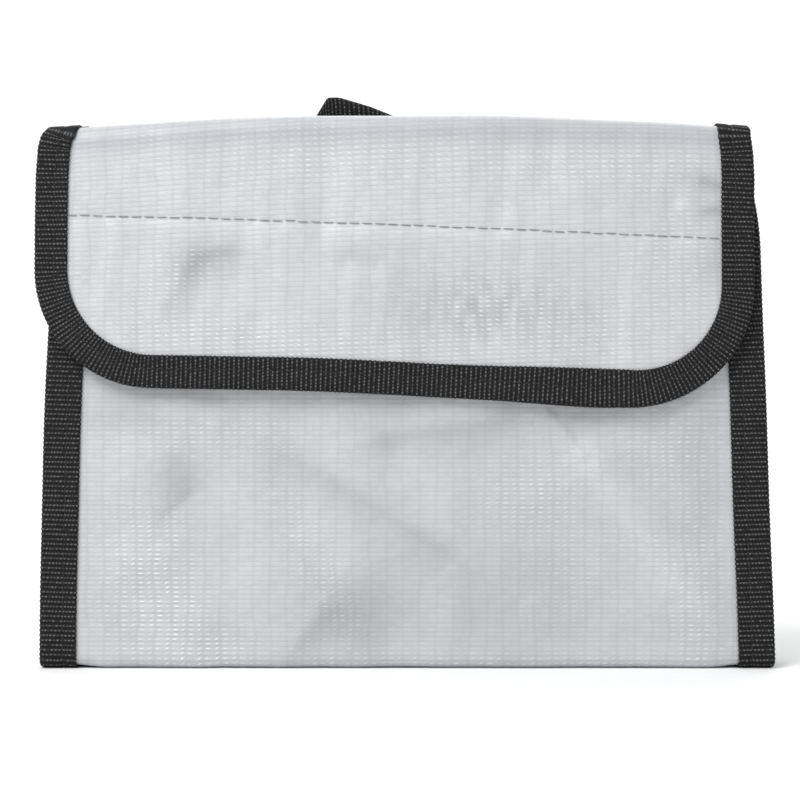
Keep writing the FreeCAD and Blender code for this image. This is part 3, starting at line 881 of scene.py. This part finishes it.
for word, side in (("left", -1.0), ("right", 1.0)):
    q = np.linspace(0.0, FRONT_MOUTH + 2.0, 60)
    height = np.interp(q, FRONT[0], FRONT[1][:, 1])
    path = np.stack([side * (front_half(height) + 0.08 * np.sin(height / 11.0)), q], axis=1)
    piece = tape("front_tape_" + word, path, front_place, side, BODY_TAPE_WIDTH)
    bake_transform(piece)
    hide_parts("front_binding_" + word, "base_binding_" + word)
    piece = tape_seam("front_tape_seam_" + word, path, front_place, side, BODY_TAPE_WIDTH - SEAM_IN)
    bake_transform(piece)
    q = np.linspace(0.0, WRAP_END, 80)
    path = np.stack([side * (wrap_half(q, side) + 0.08 * np.sin(q / 11.0)), q], axis=1)
    piece = tape("back_tape_" + word, path, wrap_place, side, BODY_TAPE_WIDTH)
    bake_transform(piece)
    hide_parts("back_binding_" + word, "lid_binding_" + word)
    piece = tape_seam("back_tape_seam_" + word, path, wrap_place, side, BODY_TAPE_WIDTH - SEAM_IN)
    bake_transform(piece)


# ---------------------------------------------------------------- linings
# Plain-woven white glass cloth backs every wall and is caught in the same seams.
def plain_weave():
    """Plain glass weave, 0.9 mm a thread: over-and-under squares from two crossed sine waves."""
    material, tree, shader = start_material("lining_cloth")
    uv, u, v = weave_uv(tree)
    warp = calc(tree, "SINE", times(tree, u, math.pi / 0.9))
    weft = calc(tree, "SINE", times(tree, v, math.pi / 0.9))
    over = times(tree, warp, weft)
    fibre = noise(tree, uv, 1.5, 3.0, 0.7)
    soil_and_painted_shade = noise(tree, uv, 0.04, 3.0)
    tone = blend_colour(tree, soil_and_painted_shade, (0.50, 0.50, 0.49, 1), (0.60, 0.60, 0.585, 1))
    shade = line_of(tree, over, 0.22, times(tree, fibre, 0.35))
    tone = blend_colour(tree, shade, tone, (0.74, 0.74, 0.73, 1))
    socket(tree, tone, shader.inputs["Base Color"])
    shader.inputs["Roughness"].default_value = 0.7
    bump(tree, shader, plus(tree, over, fibre), 0.4, 0.0001)
    return material


LINING = plain_weave()
LINING_INSET = 1.6


def lining(name, place, across, q, flip):
    """Inner cloth: the outer cloth's own shape 0.52 mm in, 0.42 mm thick."""
    skin = np.stack(place(across, q, -0.52), axis=-1)
    piece = shell(name, skin, np.stack([across, q], axis=-1), 0.42, flip=flip)
    piece.data.materials.append(LINING)
    return piece


q, t = np.meshgrid(np.linspace(14.5, FRONT_MOUTH, 90), np.linspace(-1.0, 1.0, 120), indexing="ij")
across = t * (front_half(q - FOOT_Q) - LINING_INSET)
front_lining = lining("front_lining_cloth", front_place, across, q, True)
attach(front_lining, "front")
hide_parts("front_lining")

q, t = np.meshgrid(np.linspace(-9.0, BACK_END, 110), np.linspace(-1.0, 1.0, 120), indexing="ij")


def back_and_base(x, q, h):
    """The back's place carried on past the middle of the base towards the front foot."""
    px, y, z = back_place(x, np.maximum(q, 0.0), h)
    return px, y + np.minimum(q, 0.0), z


across = t * (half_width(q - FOOT_Q) - LINING_INSET)
back_lining = lining("back_lining_cloth", back_and_base, across, q, False)
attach(back_lining, "back")
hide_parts("back_lining", "base_lining")

q, t = np.meshgrid(np.linspace(5.0, LID_END, 16), np.linspace(-1.0, 1.0, 80), indexing="ij")
lid_lining = lining("lid_lining_cloth", lid_place, t * 112.0, q, False)
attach(lid_lining, "lid")
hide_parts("lid_lining")

across, q = flap_grid(1.8, 0.14, 1.0, 80, 110)
flap_lining = lining("flap_lining_cloth", flap_place, across, q, False)
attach(flap_lining, "flap")
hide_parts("flap_lining")


# ---------------------------------------------------------------- tape over the mouth
# A length of the same tape is folded over the free top edge of the front wall and stitched. The
# shut flap hides it.
MOUTH_TAPE_WIDTH = 11.2
path = np.stack([np.linspace(-106.8, 106.8, 40), np.full(40, FRONT_MOUTH + 0.75)], axis=1)
mouth_tape = tape("mouth_tape", path, front_place, -1.0, MOUTH_TAPE_WIDTH)
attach(mouth_tape, "front")
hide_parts("mouth_binding")
mouth_seam = tape_seam("mouth_tape_seam", path, front_place, -1.0, MOUTH_TAPE_WIDTH - SEAM_IN)
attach(mouth_seam, "front")


# ---------------------------------------------------------------- hook and loop strips
# Black 45 mm hook-and-loop tape: the stiff hook half inside the flap, the napped loop half on
# the front wall. Each is sewn down just inside its own edge.
def nap(name, tone, worn, pitch):
    """Woven strap ground under hooks or loops; uv is (along, across)."""
    material, tree, shader = start_material(name)
    uv, u, v = weave_uv(tree)
    rows = calc(tree, "SINE", times(tree, u, math.pi / pitch))
    lines = calc(tree, "SINE", times(tree, v, math.pi / pitch))
    fluff = noise(tree, uv, 2.2, 3.0, 0.7)
    mix = line_of(tree, times(tree, rows, lines), 0.3, times(tree, fluff, 0.8))
    socket(tree, blend_colour(tree, mix, tone, worn), shader.inputs["Base Color"])
    shader.inputs["Roughness"].default_value = 0.65
    shader.inputs["Specular IOR Level"].default_value = 0.3
    bump(tree, shader, plus(tree, fluff, rows), 0.4, 0.0001)
    return material


HOOK = nap("hook_tape", (0.010, 0.010, 0.011, 1), (0.035, 0.035, 0.037, 1), 0.8)
LOOP = nap("loop_tape", (0.014, 0.014, 0.015, 1), (0.055, 0.055, 0.058, 1), 0.5)


def bristles(place, box, pitch, height, radius, curl, seed, loops):
    """Points, faces and uv of bent filaments standing on a strip: loops in any direction, or hooks.

    A filament bends through curl radians: along = 1.6 height (1 - cos(curl t)) / curl and
    up = 1.6 height sin(curl t) / curl for t from 0 to 1, turned to its own heading.
    """
    x0, x1, z0, z1, slope = box
    rng = np.random.default_rng(seed)
    gx, gz = np.meshgrid(
        np.arange(x0 + 2.5, x1 - 2.5, pitch), np.arange(z0 + 2.5, z1 - 2.5, pitch), indexing="ij"
    )
    gx = gx.ravel() + rng.uniform(-0.25, 0.25, gx.size) * pitch
    gz = gz.ravel() + rng.uniform(-0.25, 0.25, gz.size) * pitch - slope * (gx - (x0 + x1) / 2)
    if loops:
        heading = rng.uniform(0.0, 2 * np.pi, gx.size)
    else:
        heading = np.where(rng.random(gx.size) < 0.5, 0.0, np.pi) + rng.normal(0, 0.2, gx.size)
    t = np.linspace(0.0, 1.0, 6)
    angle = np.linspace(0.0, 2 * np.pi, 5)[:-1]
    bend, scale = (curl * t)[None, :, None], 1.6 * height / curl
    ring_a = scale * (1 - np.cos(bend)) + radius * np.cos(angle) * np.sin(bend)
    ring_u = scale * np.sin(bend) - radius * np.cos(angle) * np.cos(bend)
    ring_s = radius * np.sin(angle) * np.ones((1, len(t), 1))
    ch, sh = np.cos(heading)[:, None, None], np.sin(heading)[:, None, None]
    x = gx[:, None, None] + ring_a * ch - ring_s * sh
    z = gz[:, None, None] + ring_a * sh + ring_s * ch
    points = np.stack(place(*np.broadcast_arrays(x, z, ring_u - 0.05)), axis=-1)
    cap = np.array([[3, 2, 1, 0], [20, 21, 22, 23]])
    one = np.concatenate([cells(len(t), len(angle), wrap=True), cap])
    first = np.arange(gx.size) * len(t) * len(angle)
    faces = (one[None] + first[:, None, None]).reshape(-1, 4)
    return points.reshape(-1, 3), faces, np.stack([x, z], axis=-1).reshape(-1, 2)


def strip(name, place, box, base, thickness, face, material, filaments):
    """Flat strip with its filaments. face is +1 if it looks out of the cloth, -1 if it looks in."""
    x0, x1, z0, z1, slope = box
    u, v = np.meshgrid(np.linspace(x0, x1, 120), np.linspace(z0, z1, 30), indexing="ij")
    v = v - slope * (u - (x0 + x1) / 2)
    skin = np.stack(place(u, v, base + face * thickness), axis=-1)
    piece = shell(name, skin, np.stack([u, v], axis=-1), thickness, flip=face < 0)
    extra, faces, uv = filaments
    fuzz = make(name + "_filaments", extra, faces, uv)
    for thing in (piece, fuzz):
        thing.data.materials.append(material)
    return piece, fuzz


def flap_inside(x, z, h):
    """Point of the flap at height z, h mm out of its cloth; the inside has h below 0."""
    return flap_place(x, flap_q(z), h)


def front_outside(x, z, h):
    """Point of the front wall at height z, h mm out of its cloth."""
    return front_place(x, np.interp(z, FRONT[1][1:, 1], FRONT[0][1:]), h)


# Each box is left, right, low and high edge, and the fall of the strip for every mm across.
hook_box = (-88.0, 80.0, 101.0, 146.0, 0.034)
hooks = bristles(lambda x, z, u: flap_inside(x, z, -2.0 - u), hook_box, 1.7, 0.75, 0.10, 2.2, 41, False)
hook_strip, hook_field = strip("hook_strip_ground", flap_inside, hook_box, -1.0, 1.0, -1.0, HOOK, hooks)
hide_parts("hook_strip")
loop_box = (-88.0, 80.0, 99.5, 144.5, 0.0)
loops = bristles(lambda x, z, u: front_outside(x, z, 0.6 + u), loop_box, 1.45, 0.7, 0.07, 2.9, 42, True)
loop_strip, loop_field = strip("loop_strip_ground", front_outside, loop_box, 0.0, 0.6, 1.0, LOOP, loops)
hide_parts("loop_strip")
for piece, body, slot in (
    (hook_strip, "flap", "hook_tape"), (hook_field, "flap", "hook_tape"),
    (loop_strip, "front", "loop_tape"), (loop_field, "front", "loop_tape"),
):
    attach(piece, body)

for name, place, (x0, x1, z0, z1, slope), h, body in (
    ("hook_strip_seam", flap_inside, hook_box, -2.35, "flap"),
    ("loop_strip_seam", front_outside, loop_box, 0.95, "front"),
):
    fall = slope * (x1 - x0 - 3.0) / 2
    x0, x1, z0, z1 = x0 + 1.5, x1 - 1.5, z0 + 1.5, z1 - 1.5
    route = np.array([(x0, z0 + fall), (x1, z0 - fall), (x1, z1 - fall), (x0, z1 + fall), (x0, z0 + fall)])
    piece = stitches(name, route, place, h, 2.8, 2.2, 0.24, BLACK_THREAD)
    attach(piece, body)


# ---------------------------------------------------------------- side gussets
# Each side is one piece of the silver cloth folded inwards, narrow at the base and deep at the
# mouth, caught in the side tapes.
def gusset_skin(side, rows=90, columns=61):
    """(z, c) grid: c runs from the back seam (-1) through the inward fold (0) to the front seam (1).

    Fold depth grows from 3 mm at the base to 31 mm at the mouth; each leaf bows by a half sine.
    """
    low, high, held = 1.6, MOUTH_Z - 0.5, 0.28
    z, c = np.meshgrid(np.linspace(low, high, rows), np.linspace(-1.0, 1.0, columns), indexing="ij")
    gap = wall_y(z) - 1.55 - 3.4 * ramp(1.0 - (z - low) / 4.5) ** 2
    depth = 3.0 + 28.0 * (z - low) / (high - low)
    seam = half_width(z) - 11.2
    leaf = ramp(1.0 - np.abs(c) / (1.0 - held))
    grip = ramp((np.abs(c) - (1.0 - held)) / held)
    fold = np.sqrt(leaf ** 2 + 0.004) - 0.063
    x = seam + grip * 9.6 - depth * fold * (1.0 - 0.06 * np.sin(np.pi * leaf))
    y = -np.sign(c) * gap * np.where(leaf > 0.0, 1.0 - leaf, 1.0) ** 0.92
    x = x + 0.35 * waves(z, 14.0 * c, 51 + int(side), 24.0) * np.sin(np.pi * leaf)
    return np.stack([side * x, y, z], axis=-1), np.stack([z * 0.0 + c * 42.0, z], axis=-1)


for word, side in (("left", -1.0), ("right", 1.0)):
    skin, uv = gusset_skin(side)
    gusset = shell("gusset_cloth_" + word, skin, uv, CLOTH_THICKNESS, flip=side > 0)
    gusset.data.materials.append(SILVER)
    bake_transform(gusset)
    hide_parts("gusset_" + word)


# ---------------------------------------------------------------- handle
# A length of black 25 mm webbing sewn flat to the back wall at both ends with a boxed cross. The
# free part stands up past the top fold and is buckled left of the middle.
HANDLE_KEYS = np.array([
    # along, upper x, height, out, lower x, height, out
    (0.0, -64.0, 165.0, 0.8, -64.0, 140.0, 0.8), (20.0, -44.0, 165.0, 0.8, -44.0, 140.0, 0.8),
    (25.0, -40.8, 167.8, 1.7, -39.8, 142.6, 1.6), (41.0, -31.0, 183.2, 4.6, -32.0, 157.0, 5.2),
    (48.7, -27.0, 190.0, 6.0, -25.6, 164.4, 8.6), (53.5, -23.0, 190.1, 6.6, -21.0, 164.9, 8.6),
    (63.5, -12.6, 187.2, 8.0, -10.5, 162.0, 8.4), (72.0, -4.4, 184.0, 8.5, -2.0, 158.9, 8.3),
    (89.5, 12.0, 178.0, 7.5, 14.5, 152.9, 7.0), (108.0, 30.0, 170.8, 4.2, 31.0, 145.8, 4.0),
    (119.5, 42.0, 165.4, 1.3, 42.0, 140.4, 1.2), (124.0, 46.5, 165.0, 0.8, 46.5, 140.0, 0.8),
    (141.5, 64.0, 165.0, 0.8, 64.0, 140.0, 0.8),
])
WEBBING_LENGTH = HANDLE_KEYS[-1, 0]


def webbing_lines(s):
    """Upper and lower edges of the webbing at s mm along it, corners eased over about 3 mm."""
    fine = np.linspace(-4.0, 145.5, 600)
    rows = np.stack([np.interp(fine, HANDLE_KEYS[:, 0], HANDLE_KEYS[:, k]) for k in range(1, 7)], axis=1)
    rows = eased(rows, 15)
    rows[:, [0, 3]] += (fine - np.clip(fine, 0, WEBBING_LENGTH))[:, None]
    out = np.stack([np.interp(s, fine, rows[:, k]) for k in range(6)], axis=-1)
    return out[..., :3], out[..., 3:]


def webbing(name, first, last):
    """Closed ribbon between two lengths along the handle: about 1 mm of webbing, ribbed across.

    Its faces stand (0.48 + 0.22 rib) sqrt(1 - (2 w - 1)^12) mm off the middle, w from edge to edge.
    """
    s = np.linspace(first, last, int((last - first) / 0.27))
    upper, lower = webbing_lines(s)
    w = np.linspace(0.0, 1.0, 22)
    flat = upper[:, None] * (1 - w[None, :, None]) + lower[:, None] * w[None, :, None]
    y0 = wall_y(flat[..., 1])
    mid = np.stack([flat[..., 0], y0 + flat[..., 2] / math.cos(LEAN), flat[..., 1]], axis=-1)
    normal = unit(np.cross(np.gradient(mid, axis=0), np.gradient(mid, axis=1)))
    normal *= np.sign(normal[..., 1:2])
    rounding = np.sqrt(ramp(1.0 - (2 * w - 1) ** 12))[None, :, None]
    off = normal * (0.48 + ribbed(s)[:, None, None] * 0.22) * rounding
    points = np.concatenate([mid - off, (mid + off)[:, ::-1]], axis=1)
    across = np.concatenate([w * 25.0, w[::-1] * 25.0 + 30.0])
    uv = np.stack(np.broadcast_arrays(s[:, None], across[None]), axis=-1)
    piece = make(name, points, tube_faces(*points.shape[:2], turned=True), uv)
    piece.data.materials.append(TAPE)
    return piece


handle_left = webbing("handle_webbing_left", 0.0, 72.0)
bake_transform(handle_left)
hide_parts("handle_end_left", "handle_strap")
handle_right = webbing("handle_webbing_right", 72.0, WEBBING_LENGTH)
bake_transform(handle_right)
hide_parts("handle_end_right")


def back_outside(x, z, h):
    """Point on the flat back wall at height z, h mm out of it."""
    return x, wall_y(z) + h, z


for word, side in (("left", -1.0), ("right", 1.0)):
    a, b, low_z, high_z = side * 61.0, side * 46.5, 143.0, 162.0
    box = [(a, low_z), (b, low_z), (b, high_z), (a, high_z), (a, low_z)]
    route = np.array(box + [(b, high_z), (b, low_z), (a, high_z)])
    piece = stitches("handle_box_stitch_" + word, route, back_outside, 1.55, 2.6, 2.1, 0.26, BLACK_THREAD)
    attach(piece, "back")
    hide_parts("handle_stitch_" + word)


# ---------------------------------------------------------------- stage, light and camera
# Pale sweep under and behind the bag, one broad soft light from the upper left front, a fill from
# the right, one light from above and one from behind.
bend = np.linspace(0.0, math.pi / 2, 24)
sweep_y = np.concatenate([[-12000.0], 700.0 + 500.0 * np.sin(bend), [1200.0]])
sweep_z = np.concatenate([[0.0], 500.0 - 500.0 * np.cos(bend), [3000.0]])
side_x = np.array([[-3000.0, 3000.0]])
sweep_points = np.stack(np.broadcast_arrays(side_x, sweep_y[:, None], sweep_z[:, None]), axis=-1)
floor = make("floor", sweep_points, cells(len(sweep_y), 2), sweep_points[..., :2])
floor_material, tree, shader = start_material("floor_paper")
grain = tree.nodes.new("ShaderNodeTexCoord")
paper = noise(tree, grain.outputs["Object"], 300.0, 2.0)
tone = blend_colour(tree, paper, (0.90, 0.90, 0.90, 1), (0.93, 0.93, 0.93, 1))
socket(tree, tone, shader.inputs["Base Color"])
shader.inputs["Roughness"].default_value = 0.9
floor.data.materials.append(floor_material)

for name, place, turn, size, power in (
    ("key", (-0.75, -0.95, 1.35), (48, 0, -38), 1.0, 26.0),
    ("fill", (1.2, -1.0, 0.6), (75, 0, 50), 1.2, 2.6),
    ("top", (0.0, 0.3, 1.6), (0, 0, 0), 1.4, 5.0),
    ("back", (0.2, 1.0, 1.0), (-50, 0, 8), 1.0, 6.0),
):
    lamp = bpy.data.lights.new(name, "AREA")
    lamp.shape = "SQUARE"
    lamp.size = size
    lamp.energy = power
    light = bpy.data.objects.new(name, lamp)
    light.location = place
    light.rotation_euler = [math.radians(a) for a in turn]
    bpy.context.scene.collection.objects.link(light)

world = bpy.data.worlds.new("studio")
world.use_nodes = True
sky = world.node_tree.nodes["Background"]
sky.inputs["Color"].default_value = (0.97, 0.985, 1.0, 1.0)
sky.inputs["Strength"].default_value = 0.40
bpy.context.scene.world = world
bpy.context.scene.view_settings.view_transform = "Standard"

# The camera stands so far off that 0.2616 m of the flap's plane fills its width.
lens = bpy.data.cameras.new("camera")
lens.sensor_width = 36.0
lens.lens = 100.0
camera = bpy.data.objects.new("camera", lens)
camera.location = (-0.00245, -0.013 - 0.2616 * lens.lens / lens.sensor_width, 0.0876)
camera.rotation_euler = (math.pi / 2, 0.0, 0.0)
bpy.context.scene.collection.objects.link(camera)
bpy.context.scene.camera = camera
